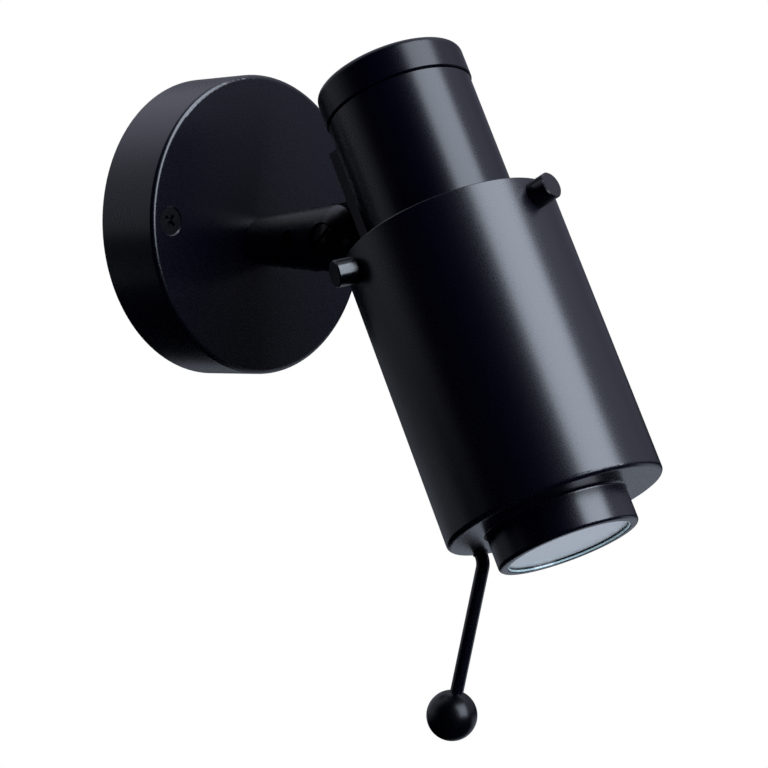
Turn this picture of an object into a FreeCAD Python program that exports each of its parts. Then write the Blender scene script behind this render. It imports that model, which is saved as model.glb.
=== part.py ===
import FreeCAD, Part
import math
import os

# Pivoting spotlight wall light. A round canopy on the wall carries a forked arm, and the
# arm's pivot carries a tubular head with its lamp, lens and aiming rod.
#
# Row frame, millimetres: the wall is the plane y = 0, the light stands out towards -Y,
# +Z is up, and the origin is the centre of the canopy's open back.
# The head is drawn upright in its own frame, with the pivot at the origin and its axis
# parallel to Z, and is then turned about the pivot to the angle it is shown at.
# Heights on the head are given as s, measured down its axis from the shade's top rim.

Vector = FreeCAD.Vector

# ---- clearances -------------------------------------------------------------------------
RUNNING_CLEARANCE = 0.05     # radial, a shaft that turns in its hole
THREAD_CLEARANCE = 0.05      # radial, a screw in its tapped hole
SLIP_CLEARANCE = 0.3         # radial, parts that slide together by hand
FACE_GAP = 0.05              # between flat faces that move on each other
SWING_CLEARANCE = 0.4        # round the lug, where it swings inside the fork

# ---- pan-head screws, as shares of the head's radius or height ---------------------------
HEAD_BEVEL = 0.35            # of the height
HEAD_SLOT_WIDTH = 0.3        # of the radius
HEAD_SLOT_DEPTH = 0.5        # of the height

# ---- canopy and what it holds -----------------------------------------------------------
CANOPY_RADIUS = 50.0
CANOPY_DEPTH = 24.0
CANOPY_FACE = 2.6            # thickness of the front
CANOPY_WALL = 1.6            # thickness of the side
CANOPY_ROUND = 1.5           # rounded front edge
CANOPY_SCREW_INSET = 8.0     # from the canopy's edge, left and right
CANOPY_SCREW_RADIUS = 2.5
CANOPY_SINK_RADIUS = 4.85    # mouth of each countersunk hole
CANOPY_SCREW_SUNK = 0.35     # how deep the screw's head lies in it
CANOPY_SCREW_LENGTH = 12.0
RECESS_WIDTH = 4.8           # cross recess, tip to tip
RECESS_SLOT = 1.1
RECESS_DEPTH = 1.6
RECESS_TURN = 36.0

BRACKET_THICKNESS = 2.0
BRACKET_WIDTH = 16.0
BRACKET_LEG_INSET = 7.0      # from each canopy screw to the outer face of its leg
BRACKET_END_REACH = 4.5      # past each canopy screw
BRACKET_BEND = 1.0           # inside radius of each bend
WALL_SLOT_SPACING = 50.0
WALL_SLOT_LENGTH = 12.0
WALL_SLOT_WIDTH = 5.0
TAB_WIDTH = 38.0
TAB_TOP = 31.0
BRACKET_NUT_FLATS = 8.0
BRACKET_NUT_THICKNESS = 4.0

TUBE_RADIUS = 5.0
TUBE_BORE_RADIUS = 3.25
TUBE_TAIL = 7.5              # inside the canopy, behind its front
TUBE_GROOVE_DEPTH = 0.8
TUBE_GROOVE_SLACK = 0.3      # each side of the lock screw's point
TUBE_WASHER_RADIUS = 8.5
TUBE_WASHER_THICKNESS = 1.0
TUBE_NUT_FLATS = 14.0
TUBE_NUT_THICKNESS = 4.0

BLOCK_LENGTH = 33.0
BLOCK_HEIGHT = 16.0
BLOCK_DEPTH = 13.0
BLOCK_BOTTOM = 11.0          # above the canopy's centre
BLOCK_WAYS = 3
BLOCK_WAY_PITCH = 10.0
BLOCK_WIRE_RADIUS = 1.7
BLOCK_WIRE_HEIGHT = 5.0      # wire holes above the strap
BLOCK_NOTCH_WIDTH = 1.6
BLOCK_NOTCH_DEPTH = 4.0
TERMINAL_SCREW_RADIUS = 1.5
TERMINAL_SCREW_LENGTH = 5.5
TERMINAL_SCREW_SPACING = 8.0
TERMINAL_SCREW_DEPTH = 6.5
BLOCK_SCREW_RADIUS = 1.2
BLOCK_SCREW_HEAD_RADIUS = 2.2
BLOCK_SCREW_HEAD = 1.6

EARTH_OFFSET = 12.0
EARTH_SCREW_RADIUS = 2.0
EARTH_HEAD_RADIUS = 4.0
EARTH_HEAD = 2.4
EARTH_WASHER_RADIUS = 4.5
EARTH_WASHER_THICKNESS = 0.8

# ---- arm: a cone that runs into a ball, slotted for the lug --------------------------------
ARM_HEIGHT = -5.6            # the arm's axis, below the canopy's centre
ARM_LENGTH = 36.6            # canopy's front to the pivot
ARM_ROOT_RADIUS = 8.0
KNUCKLE_RADIUS = 11.6        # the ball at the arm's end
LOCK_SCREW_FROM_PIVOT = 15.4
LOCK_SCREW_RADIUS = 3.0
LOCK_SCREW_SUNK = 1.4
LOCK_POINT_RADIUS = 2.0
LOCK_SOCKET_FLATS = 3.0
LOCK_SOCKET_DEPTH = 1.0
TUBE_FROM_SLOT = 0.8         # the threaded tube ends this far behind the slot's floor
PIVOT_SCREW_RADIUS = 2.5
PIVOT_HEAD_RADIUS = 4.4
PIVOT_HEAD_SIDE = 1.7
PIVOT_HEAD_DOME = 0.7
PIVOT_SLOT_WIDTH = 1.3
PIVOT_SLOT_DEPTH = 1.2
PIVOT_SLOT_TURN = 45.0
COUNTERBORE_RADIUS = 5.0
COUNTERBORE_DEPTH = 2.3
PIVOT_NUT_FLATS = 8.0
PIVOT_NUT_THICKNESS = 2.2
PIVOT_WASHER_RADIUS = 7.0
PIVOT_WASHER_THICKNESS = 0.5

# ---- head: pivot lug and bar --------------------------------------------------------------
HEAD_TILT = 26.2             # the head's axis from the vertical, light end outwards
BAR_FROM_PIVOT = 12.7        # the pivot to the bar's back
RIM_BELOW_PIVOT = 18.5       # the shade's top rim, along the head's axis
LUG_WIDTH = 7.0
LUG_EYE_RADIUS = 11.2
LUG_NECK_HEIGHT = 15.6       # where it meets its flange
LUG_FLANGE_THICKNESS = 1.4
LUG_FLANGE_WIDTH = 10.0
LUG_FLANGE_HEIGHT = 30.0
LUG_SCREW_RADIUS = 1.5
LUG_SCREW_OFFSET = 10.5      # above and below the pivot
LUG_SCREW_HEAD_RADIUS = 2.7
LUG_SCREW_HEAD = 1.8
WIRE_WAY_RADIUS = 1.6
WIRE_WAY_OFFSET = 4.6        # above the pivot
BUSH_RADIUS = 2.45
BUSH_FLANGE_RADIUS = 3.0
BUSH_FLANGE = 0.9
BAR_WIDTH = 16.0
BAR_THICKNESS = 4.0          # at its middle, behind the inner tube
BAR_TOP = -42.0
BAR_BOTTOM = 12.0
BAR_CHAMFER = 0.4

# ---- head: tube, cap, shade ----------------------------------------------------------------
INNER_RADIUS = 23.9
INNER_WALL = 1.2
INNER_TOP = -45.0
INNER_BOTTOM = 60.0
SEAM_GAP = 0.3
CAP_RADIUS = 24.4
CAP_TOP = -56.2
CAP_ROUND = 2.2
CAP_WALL = 1.5
CAP_SPIGOT_BOTTOM = -37.0
SEAM_CHAMFER = 0.3

SHADE_RADIUS = 34.7
SHADE_WALL = 1.2
SHADE_BOTTOM = 95.8
SHADE_FLOOR = 3.0
SHADE_ROUND = 1.6
RIM_CHAMFER = 0.3
SNOUT_RADIUS = 22.4
SNOUT_END = 107.3
SNOUT_ROUND = 1.2
SNOUT_ROOT_ROUND = 0.8
SNOUT_BORE_RADIUS = 20.9
APERTURE_RADIUS = 19.75
LENS_RADIUS = 20.6
LENS_THICKNESS = 3.0
LENS_SUNK = 2.4
LENS_BEVEL = 0.5
LENS_RING_THICKNESS = 1.2
LENS_RING_RADIUS = 21.2
LENS_RING_INNER = 19.3
LENS_RING_MOUTH = 5.0
RING_GROOVE_RADIUS = 21.4

SHADE_TURN = 2.3             # how far the pins and the rod stand round from the bar's middle
PIN_COUNT = 3
PIN_HEIGHT = 6.0
PIN_RADIUS = 4.3
PIN_LENGTH = 6.6
PIN_CHAMFER = 0.35
PIN_SCREW_RADIUS = 2.0
PIN_SCREW_LENGTH = 8.0
POST_RADIUS = 4.0
POST_SPIGOT_RADIUS = 2.9
POST_RIVET_RADIUS = 3.8
POST_RIVET = 0.7

# ---- head: lamp and its holder ---------------------------------------------------------------
LAMP_FACE = 100.4
LAMP_RADIUS = 17.5
LAMP_RIM = 3.0
LAMP_NECK_RADIUS = 9.0
LAMP_NECK_TOP = 55.0
LAMP_NECK_BOTTOM = 72.0
LAMP_WALL = 1.4
LAMP_COVER_THICKNESS = 1.5
LAMP_PIN_SPACING = 10.0
LAMP_PIN_RADIUS = 1.3
LAMP_PIN_HEAD_RADIUS = 2.4
LAMP_PIN_LENGTH = 7.0
LAMP_PIN_HEAD = 2.4
HOLDER_RADIUS = 13.5
HOLDER_LENGTH = 18.0
HOLDER_ROUND = 1.0
PLATE_THICKNESS = 1.2
PLATE_SKIRT = 9.0
PLATE_HOLE_RADIUS = 5.0
PLATE_SCREW_RADIUS = 1.5
PLATE_SCREW_HEAD_RADIUS = 2.7
PLATE_SCREW_HEAD = 1.8
PLATE_SCREW_LENGTH = 4.5
HOLDER_SCREW_OFFSET = 9.0
HOLDER_SCREW_LENGTH = 9.0

# ---- head: aiming rod ---------------------------------------------------------------------------
ROD_RADIUS = 2.1
ROD_INSET = 2.9              # from the shade's side, on the side towards the wall
ROD_TENON_RADIUS = 1.45
ROD_CORNER = 98.8            # where the rod's two straight runs would meet
ROD_BEND_RADIUS = 5.5
ROD_FLARE_RADIUS = 2.5
ROD_FLARE = 0.7              # shorter than the straight run below the floor
BALL_RADIUS = 8.0
BALL_CENTRE = 137.1
BALL_REACH = 32.2            # from the rod's foot, towards the wall
BALL_SOCKET = 5.0            # how deep the rod goes in

X_AXIS = Vector(1, 0, 0)
Y_AXIS = Vector(0, 1, 0)
Z_AXIS = Vector(0, 0, 1)
ORIGIN = Vector(0, 0, 0)

CANOPY_FRONT = -CANOPY_DEPTH
CANOPY_INSIDE = CANOPY_FRONT + CANOPY_FACE
PIVOT_Y = CANOPY_FRONT - ARM_LENGTH
SLOT_WIDTH = LUG_WIDTH + 2 * (PIVOT_WASHER_THICKNESS + FACE_GAP)
SLOT_FLOOR_Y = PIVOT_Y + LUG_EYE_RADIUS + SWING_CLEARANCE
LOCK_SCREW_Y = PIVOT_Y + LOCK_SCREW_FROM_PIVOT
INNER_BORE_RADIUS = INNER_RADIUS - INNER_WALL
SHADE_BORE_RADIUS = SHADE_RADIUS - SHADE_WALL
FLOOR_INSIDE = SHADE_BOTTOM - SHADE_FLOOR
LENS_FRONT = SNOUT_END - LENS_SUNK
LENS_BACK = LENS_FRONT - LENS_THICKNESS
HOLDER_BOTTOM = LAMP_NECK_TOP - SLIP_CLEARANCE
HOLDER_TOP = HOLDER_BOTTOM - HOLDER_LENGTH
PLATE_BACK = HOLDER_TOP - PLATE_THICKNESS
BAR_BACK_Y = -BAR_FROM_PIVOT
HEAD_AXIS_FROM_PIVOT = BAR_FROM_PIVOT + BAR_THICKNESS + INNER_RADIUS
LUG_FLANGE_Y = BAR_BACK_Y + LUG_FLANGE_THICKNESS
PIN_ANGLES = [SHADE_TURN + 360 / PIN_COUNT * pin for pin in range(PIN_COUNT)]
ROD_ANGLE = 180 + SHADE_TURN
ROD_OFFSET = SHADE_RADIUS - ROD_INSET
BALL_OFFSET = ROD_OFFSET + BALL_REACH


# ---- general forms --------------------------------------------------------------------------
def rod_between(start, end, radius):
    """A cylinder from one point to another."""
    run = end.sub(start)
    return Part.makeCylinder(radius, run.Length, start, run)


def ring_between(start, end, outer, inner):
    """A tube from one point to another."""
    return rod_between(start, end, outer).cut(rod_between(start, end, inner))


def cone_between(start, end, start_radius, end_radius):
    """A cone from one point to another."""
    run = end.sub(start)
    return Part.makeCone(start_radius, end_radius, run.Length, start, run)


def block(low, high):
    """A box from its lowest to its highest corner."""
    size = high.sub(low)
    return Part.makeBox(size.x, size.y, size.z, low)


def prism(points, run):
    """A closed outline of points swept along a vector."""
    return Part.Face(Part.makePolygon(points + points[:1])).extrude(run)


def hexagon(start, end, flats):
    """A six-sided bar from one point to another, given its width across flats."""
    run = end.sub(start)
    corner = flats / 2 / math.cos(math.pi / 6)
    turn = FreeCAD.Rotation(Z_AXIS, run)
    points = []
    for step in range(6):
        angle = math.radians(60 * step)
        spoke = Vector(corner * math.cos(angle), corner * math.sin(angle), 0)
        points.append(start.add(turn.multVec(spoke)))
    return prism(points, run)


def turned(points):
    """A body turned about the head's axis, from its outline as (radius, s) pairs."""
    outline = [Vector(radius, 0, -s) for radius, s in points]
    face = Part.Face(Part.makePolygon(outline + outline[:1]))
    return face.revolve(ORIGIN, Z_AXIS, 360).translated(on_axis(0))


def round_edges(shape, radius, chosen):
    """Rounds the edges that the test picks."""
    return shape.makeFillet(radius, [edge for edge in shape.Edges if chosen(edge)])


def bevel_edges(shape, size, chosen):
    """Bevels the edges that the test picks."""
    return shape.makeChamfer(size, [edge for edge in shape.Edges if chosen(edge)])


def circle_at(radius, axis, place):
    """A test for full circles of a radius whose centre lies at a place along an axis."""
    def chosen(edge):
        if not isinstance(edge.Curve, Part.Circle):
            return False
        same_radius = abs(edge.Curve.Radius - radius) < 1e-3
        return same_radius and abs(edge.Curve.Center.dot(axis) - place) < 1e-3
    return chosen


def pan_screw(seat, direction, radius, length, head_radius, head_height):
    """A screw whose head stands on its seat and whose shank runs along the direction."""
    along = Vector(direction).normalize()
    top = seat.sub(along * head_height)
    head = rod_between(top, seat, head_radius)
    head = bevel_edges(head, head_height * HEAD_BEVEL, circle_at(head_radius, along, top.dot(along)))
    slot_width = head_radius * HEAD_SLOT_WIDTH
    slot_depth = head_height * HEAD_SLOT_DEPTH
    slot = Part.makeBox(head_radius * 2, slot_width, slot_depth)
    slot.translate(Vector(-head_radius, -slot_width / 2, 0))
    slot.Placement = FreeCAD.Placement(top, FreeCAD.Rotation(Z_AXIS, along)).multiply(slot.Placement)
    shank = rod_between(seat, seat.add(along * length), radius)
    return head.fuse(shank).cut(slot)


def joined(solids):
    """Fuses solids into one and drops the seams between flush faces."""
    body = solids[0]
    for solid in solids[1:]:
        body = body.fuse(solid)
    return body.removeSplitter()


# ---- places -----------------------------------------------------------------------------------
def on_axis(s):
    """A point on the head's axis, head upright."""
    return Vector(0, -HEAD_AXIS_FROM_PIVOT, -RIM_BELOW_PIVOT - s)


def around_axis(angle, radius, s):
    """A point beside the head's axis; angle 0 is the side away from the wall."""
    turn = math.radians(angle)
    return on_axis(s).add(Vector(radius * math.sin(turn), -radius * math.cos(turn), 0))


def head_at_rest(shape):
    """Turns an upright piece of the head about the pivot and sets it on the arm."""
    turn = FreeCAD.Rotation(X_AXIS, -HEAD_TILT)
    place = FreeCAD.Placement(Vector(0, PIVOT_Y, ARM_HEIGHT), turn)
    return shape.transformed(place.toMatrix())


def arm_at_rest(shape):
    """Sets a piece drawn about the arm's axis at the arm's height."""
    return shape.translated(Vector(0, 0, ARM_HEIGHT))


def seat_screws():
    """The two screw places on the canopy, left and right."""
    offset = CANOPY_RADIUS - CANOPY_SCREW_INSET
    return (-offset, offset)


# ---- root: canopy and what it holds --------------------------------------------------------------
def wall_canopy():
    front = Vector(0, CANOPY_FRONT, 0)
    shell = rod_between(ORIGIN, front, CANOPY_RADIUS)
    shell = round_edges(shell, CANOPY_ROUND, circle_at(CANOPY_RADIUS, Y_AXIS, CANOPY_FRONT))
    inside_radius = CANOPY_RADIUS - CANOPY_WALL
    hollow = rod_between(ORIGIN, Vector(0, CANOPY_INSIDE, 0), inside_radius)
    hollow = round_edges(hollow, CANOPY_ROUND / 2, circle_at(inside_radius, Y_AXIS, CANOPY_INSIDE))
    shell = shell.cut(hollow)
    hole_radius = CANOPY_SCREW_RADIUS + THREAD_CLEARANCE
    sink = CANOPY_SINK_RADIUS - hole_radius
    for x in seat_screws():
        mouth = Vector(x, CANOPY_FRONT, 0)
        shell = shell.cut(rod_between(mouth, Vector(x, CANOPY_INSIDE, 0), hole_radius))
        shell = shell.cut(cone_between(mouth, mouth.add(Y_AXIS * sink), CANOPY_SINK_RADIUS, hole_radius))
    tube_hole = TUBE_RADIUS + THREAD_CLEARANCE
    start = Vector(0, CANOPY_FRONT, ARM_HEIGHT)
    return shell.cut(rod_between(start, Vector(0, CANOPY_INSIDE, ARM_HEIGHT), tube_hole))


def canopy_screw(x):
    top = Vector(x, CANOPY_FRONT + CANOPY_SCREW_SUNK, 0)
    head_radius = CANOPY_SINK_RADIUS - CANOPY_SCREW_SUNK - THREAD_CLEARANCE
    neck = top.add(Y_AXIS * (head_radius - CANOPY_SCREW_RADIUS))
    head = cone_between(top, neck, head_radius, CANOPY_SCREW_RADIUS)
    shank = rod_between(neck, top.add(Y_AXIS * CANOPY_SCREW_LENGTH), CANOPY_SCREW_RADIUS)
    screw = head.fuse(shank)
    for turn in (RECESS_TURN, RECESS_TURN + 90):
        slot = Part.makeBox(RECESS_WIDTH, RECESS_DEPTH * 2, RECESS_SLOT)
        slot.translate(Vector(-RECESS_WIDTH / 2, -RECESS_DEPTH, -RECESS_SLOT / 2))
        slot.rotate(ORIGIN, Y_AXIS, turn)
        screw = screw.cut(slot.translated(top))
    return screw


def canopy_screws():
    return Part.makeCompound([canopy_screw(x) for x in seat_screws()])


def mounting_bracket():
    _, screw_x = seat_screws()
    leg = screw_x - BRACKET_LEG_INSET
    end = screw_x + BRACKET_END_REACH
    thick = BRACKET_THICKNESS
    flange_back = CANOPY_INSIDE + thick
    half = [
        (leg, 0), (leg, flange_back), (end, flange_back), (end, CANOPY_INSIDE),
        (leg - thick, CANOPY_INSIDE), (leg - thick, -thick),
    ]
    outline = half + [(-x, y) for x, y in reversed(half)]
    bottom = -BRACKET_WIDTH / 2
    points = [Vector(x, y, bottom) for x, y in outline]
    strap = prism(points, Z_AXIS * BRACKET_WIDTH)

    def bend(outside):
        """A test for the long edges on the outside or the inside of the bends."""
        if outside:
            places = ((leg, 0), (leg - thick, CANOPY_INSIDE))
        else:
            places = ((leg, flange_back), (leg - thick, -thick))

        def chosen(edge):
            middle = edge.CenterOfMass
            upright = abs(middle.z) < 1e-3
            return upright and any(
                abs(abs(middle.x) - x) < 1e-3 and abs(middle.y - y) < 1e-3 for x, y in places)
        return chosen

    strap = round_edges(strap, BRACKET_BEND, bend(False))
    strap = round_edges(strap, BRACKET_BEND + thick, bend(True))
    tab = block(Vector(-TAB_WIDTH / 2, -thick, BRACKET_WIDTH / 2), Vector(TAB_WIDTH / 2, 0, TAB_TOP))
    strap = joined([strap, tab])
    through = Y_AXIS * thick
    slot_radius = WALL_SLOT_WIDTH / 2
    slot_reach = WALL_SLOT_LENGTH / 2 - slot_radius
    for centre_x in (-WALL_SLOT_SPACING / 2, WALL_SLOT_SPACING / 2):
        low = Vector(centre_x - slot_reach, -thick, -slot_radius)
        strap = strap.cut(block(low, Vector(centre_x + slot_reach, 0, slot_radius)))
        for x in (centre_x - slot_reach, centre_x + slot_reach):
            start = Vector(x, -thick, 0)
            strap = strap.cut(rod_between(start, start.add(through), slot_radius))
    hole = CANOPY_SCREW_RADIUS + THREAD_CLEARANCE
    for x in seat_screws():
        start = Vector(x, CANOPY_INSIDE, 0)
        strap = strap.cut(rod_between(start, start.add(through), hole))
    for place, radius in ((block_screw_place(), BLOCK_SCREW_RADIUS), (earth_place(), EARTH_SCREW_RADIUS)):
        strap = strap.cut(rod_between(place, place.add(through), radius + THREAD_CLEARANCE))
    return strap


def bracket_nuts():
    nuts = []
    for x in seat_screws():
        start = Vector(x, CANOPY_INSIDE + BRACKET_THICKNESS, 0)
        end = start.add(Y_AXIS * BRACKET_NUT_THICKNESS)
        nut = hexagon(start, end, BRACKET_NUT_FLATS)
        nuts.append(nut.cut(rod_between(start, end, CANOPY_SCREW_RADIUS + THREAD_CLEARANCE)))
    return Part.makeCompound(nuts)


def threaded_tube():
    tail = Vector(0, CANOPY_INSIDE + TUBE_TAIL, 0)
    nose = Vector(0, SLOT_FLOOR_Y + TUBE_FROM_SLOT, 0)
    tube = ring_between(tail, nose, TUBE_RADIUS, TUBE_BORE_RADIUS)
    reach = Y_AXIS * (LOCK_POINT_RADIUS + TUBE_GROOVE_SLACK)
    middle = Vector(0, LOCK_SCREW_Y, 0)
    groove_floor = TUBE_RADIUS - TUBE_GROOVE_DEPTH
    groove = ring_between(middle.sub(reach), middle.add(reach), TUBE_RADIUS * 2, groove_floor)
    return arm_at_rest(tube.cut(groove))


def tube_washer():
    start = Vector(0, CANOPY_INSIDE, 0)
    end = start.add(Y_AXIS * TUBE_WASHER_THICKNESS)
    return arm_at_rest(ring_between(start, end, TUBE_WASHER_RADIUS, TUBE_RADIUS + THREAD_CLEARANCE))


def tube_nut():
    start = Vector(0, CANOPY_INSIDE + TUBE_WASHER_THICKNESS, 0)
    end = start.add(Y_AXIS * TUBE_NUT_THICKNESS)
    nut = hexagon(start, end, TUBE_NUT_FLATS)
    return arm_at_rest(nut.cut(rod_between(start, end, TUBE_RADIUS + THREAD_CLEARANCE)))


def block_way_places():
    """The middle of each way of the terminal block, along x."""
    first = -BLOCK_WAY_PITCH * (BLOCK_WAYS - 1) / 2
    return [first + BLOCK_WAY_PITCH * way for way in range(BLOCK_WAYS)]


def terminal_screw_places():
    """Where each terminal screw's hole ends, inside the block."""
    depth_y = -BRACKET_THICKNESS - BLOCK_DEPTH + TERMINAL_SCREW_DEPTH
    middle_z = BLOCK_BOTTOM + BLOCK_HEIGHT / 2
    places = []
    for x in block_way_places():
        for side in (-1, 1):
            places.append(Vector(x, depth_y, middle_z + side * TERMINAL_SCREW_SPACING / 2))
    return places


def block_screw_place():
    """Where the block's fixing screw meets the front of the strap."""
    x = -BLOCK_WAY_PITCH / 2
    return Vector(x, -BRACKET_THICKNESS, BLOCK_BOTTOM + BLOCK_HEIGHT / 2)


def terminal_block():
    front_y = -BRACKET_THICKNESS - BLOCK_DEPTH
    low = Vector(-BLOCK_LENGTH / 2, front_y, BLOCK_BOTTOM)
    high = Vector(BLOCK_LENGTH / 2, -BRACKET_THICKNESS, BLOCK_BOTTOM + BLOCK_HEIGHT)
    body = block(low, high)
    ways = block_way_places()
    for x in ways:
        start = Vector(x, -BRACKET_THICKNESS - BLOCK_WIRE_HEIGHT, low.z)
        body = body.cut(rod_between(start, Vector(x, start.y, high.z), BLOCK_WIRE_RADIUS))
    for left, right in zip(ways, ways[1:]):
        middle = (left + right) / 2
        notch_low = Vector(middle - BLOCK_NOTCH_WIDTH / 2, front_y, low.z)
        notch_high = Vector(middle + BLOCK_NOTCH_WIDTH / 2, front_y + BLOCK_NOTCH_DEPTH, high.z)
        body = body.cut(block(notch_low, notch_high))
    for place in terminal_screw_places():
        mouth = Vector(place.x, front_y, place.z)
        body = body.cut(rod_between(place, mouth, TERMINAL_SCREW_RADIUS + THREAD_CLEARANCE))
    place = block_screw_place()
    seat = Vector(place.x, front_y + BLOCK_NOTCH_DEPTH + BLOCK_SCREW_HEAD, place.z)
    body = body.cut(rod_between(place, seat, BLOCK_SCREW_RADIUS + THREAD_CLEARANCE))
    mouth = Vector(place.x, front_y, place.z)
    return body.cut(rod_between(seat, mouth, BLOCK_SCREW_HEAD_RADIUS + THREAD_CLEARANCE))


def terminal_screws():
    screws = []
    for place in terminal_screw_places():
        top = place.sub(Y_AXIS * TERMINAL_SCREW_LENGTH)
        screws.append(rod_between(place, top, TERMINAL_SCREW_RADIUS))
    return Part.makeCompound(screws)


def block_screw():
    place = block_screw_place()
    seat_y = -BRACKET_THICKNESS - BLOCK_DEPTH + BLOCK_NOTCH_DEPTH + BLOCK_SCREW_HEAD
    seat = Vector(place.x, seat_y, place.z)
    length = -seat_y
    return pan_screw(seat, Y_AXIS, BLOCK_SCREW_RADIUS, length, BLOCK_SCREW_HEAD_RADIUS, BLOCK_SCREW_HEAD)


def earth_place():
    """Where the earth screw meets the front of the strap."""
    return Vector(EARTH_OFFSET, -BRACKET_THICKNESS, 0)


def earth_washer():
    start = earth_place()
    end = start.sub(Y_AXIS * EARTH_WASHER_THICKNESS)
    return ring_between(start, end, EARTH_WASHER_RADIUS, EARTH_SCREW_RADIUS + THREAD_CLEARANCE)


def earth_screw():
    seat = earth_place().sub(Y_AXIS * EARTH_WASHER_THICKNESS)
    return pan_screw(seat, Y_AXIS, EARTH_SCREW_RADIUS, -seat.y, EARTH_HEAD_RADIUS, EARTH_HEAD)


# ---- arm -------------------------------------------------------------------------------------
def arm_taper():
    """The angle of the cone that leaves the root's edge and just touches the knuckle's ball."""
    reach = math.hypot(ARM_LENGTH, ARM_ROOT_RADIUS)
    return math.asin(KNUCKLE_RADIUS / reach) - math.atan(ARM_ROOT_RADIUS / ARM_LENGTH)


def counterbore_seat():
    """How far from the middle of the arm the pivot screw's head and its nut are seated."""
    mouth = math.sqrt(KNUCKLE_RADIUS ** 2 - COUNTERBORE_RADIUS ** 2)
    return mouth - COUNTERBORE_DEPTH


def fork_arm():
    root_y = CANOPY_FRONT - FACE_GAP
    taper = arm_taper()
    root = Vector(ARM_ROOT_RADIUS, root_y, 0)
    touch = Vector(KNUCKLE_RADIUS * math.cos(taper), PIVOT_Y + KNUCKLE_RADIUS * math.sin(taper), 0)
    half_turn = (taper - math.pi / 2) / 2
    round_side = KNUCKLE_RADIUS * math.cos(half_turn)
    shoulder = Vector(round_side, PIVOT_Y + KNUCKLE_RADIUS * math.sin(half_turn), 0)
    pole = Vector(0, PIVOT_Y - KNUCKLE_RADIUS, 0)
    ball = Part.Arc(touch, shoulder, pole).toShape()
    sides = Part.makePolygon([pole, Vector(0, root_y, 0), root, touch]).Edges
    arm = Part.Face(Part.Wire(sides + [ball])).revolve(ORIGIN, Y_AXIS, 360)
    reach = KNUCKLE_RADIUS * 2
    slot_low = Vector(-SLOT_WIDTH / 2, PIVOT_Y - reach, -reach)
    arm = arm.cut(block(slot_low, Vector(SLOT_WIDTH / 2, SLOT_FLOOR_Y, reach)))
    bore_end = Vector(0, SLOT_FLOOR_Y, 0)
    arm = arm.cut(rod_between(Vector(0, root_y, 0), bore_end, TUBE_RADIUS + RUNNING_CLEARANCE))
    left = Vector(-reach, PIVOT_Y, 0)
    right = Vector(reach, PIVOT_Y, 0)
    arm = arm.cut(rod_between(left, right, PIVOT_SCREW_RADIUS + RUNNING_CLEARANCE))
    seat = counterbore_seat()
    arm = arm.cut(rod_between(left, Vector(-seat, PIVOT_Y, 0), COUNTERBORE_RADIUS))
    arm = arm.cut(rod_between(right, Vector(seat, PIVOT_Y, 0), COUNTERBORE_RADIUS))
    lock_mouth = Vector(-reach, LOCK_SCREW_Y, 0)
    arm = arm.cut(rod_between(lock_mouth, Vector(0, LOCK_SCREW_Y, 0), LOCK_SCREW_RADIUS + THREAD_CLEARANCE))
    return arm_at_rest(arm)


def arm_lock_screw():
    surface = ARM_ROOT_RADIUS + (ARM_LENGTH - LOCK_SCREW_FROM_PIVOT) * math.tan(arm_taper())
    outer = Vector(LOCK_SCREW_SUNK - surface, LOCK_SCREW_Y, 0)
    shoulder = Vector(-TUBE_RADIUS - FACE_GAP, LOCK_SCREW_Y, 0)
    tip = Vector(-TUBE_RADIUS + TUBE_GROOVE_DEPTH - FACE_GAP, LOCK_SCREW_Y, 0)
    screw = joined([
        rod_between(outer, shoulder, LOCK_SCREW_RADIUS),
        rod_between(shoulder, tip, LOCK_POINT_RADIUS),
    ])
    socket = hexagon(outer, outer.add(X_AXIS * LOCK_SOCKET_DEPTH), LOCK_SOCKET_FLATS)
    return arm_at_rest(screw.cut(socket))


def pivot_screw():
    seat = Vector(-counterbore_seat(), PIVOT_Y, 0)
    end = Vector(counterbore_seat() + PIVOT_NUT_THICKNESS, PIVOT_Y, 0)
    crown = Vector(-PIVOT_HEAD_SIDE - PIVOT_HEAD_DOME, 0, 0)
    edge = Vector(-PIVOT_HEAD_SIDE, PIVOT_HEAD_RADIUS, 0)
    dome_radius = (PIVOT_HEAD_RADIUS ** 2 + PIVOT_HEAD_DOME ** 2) / (2 * PIVOT_HEAD_DOME)
    half_turn = math.asin(PIVOT_HEAD_RADIUS / dome_radius) / 2
    sagitta = dome_radius * (1 - math.cos(half_turn))
    middle = Vector(crown.x + sagitta, dome_radius * math.sin(half_turn), 0)
    dome = Part.Arc(edge, middle, crown).toShape()
    sides = Part.makePolygon([crown, ORIGIN, Vector(0, PIVOT_HEAD_RADIUS, 0), edge]).Edges
    head = Part.Face(Part.Wire(sides + [dome])).revolve(ORIGIN, X_AXIS, 360)
    slot = Part.makeBox(PIVOT_SLOT_DEPTH * 2, PIVOT_SLOT_WIDTH, PIVOT_HEAD_RADIUS * 2)
    slot.translate(Vector(crown.x - PIVOT_SLOT_DEPTH, -PIVOT_SLOT_WIDTH / 2, -PIVOT_HEAD_RADIUS))
    slot.rotate(ORIGIN, X_AXIS, PIVOT_SLOT_TURN)
    head = head.cut(slot).translated(seat)
    return arm_at_rest(head.fuse(rod_between(seat, end, PIVOT_SCREW_RADIUS)))


def pivot_nut():
    start = Vector(counterbore_seat(), PIVOT_Y, 0)
    end = start.add(X_AXIS * PIVOT_NUT_THICKNESS)
    nut = hexagon(start, end, PIVOT_NUT_FLATS)
    return arm_at_rest(nut.cut(rod_between(start, end, PIVOT_SCREW_RADIUS + THREAD_CLEARANCE)))


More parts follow.
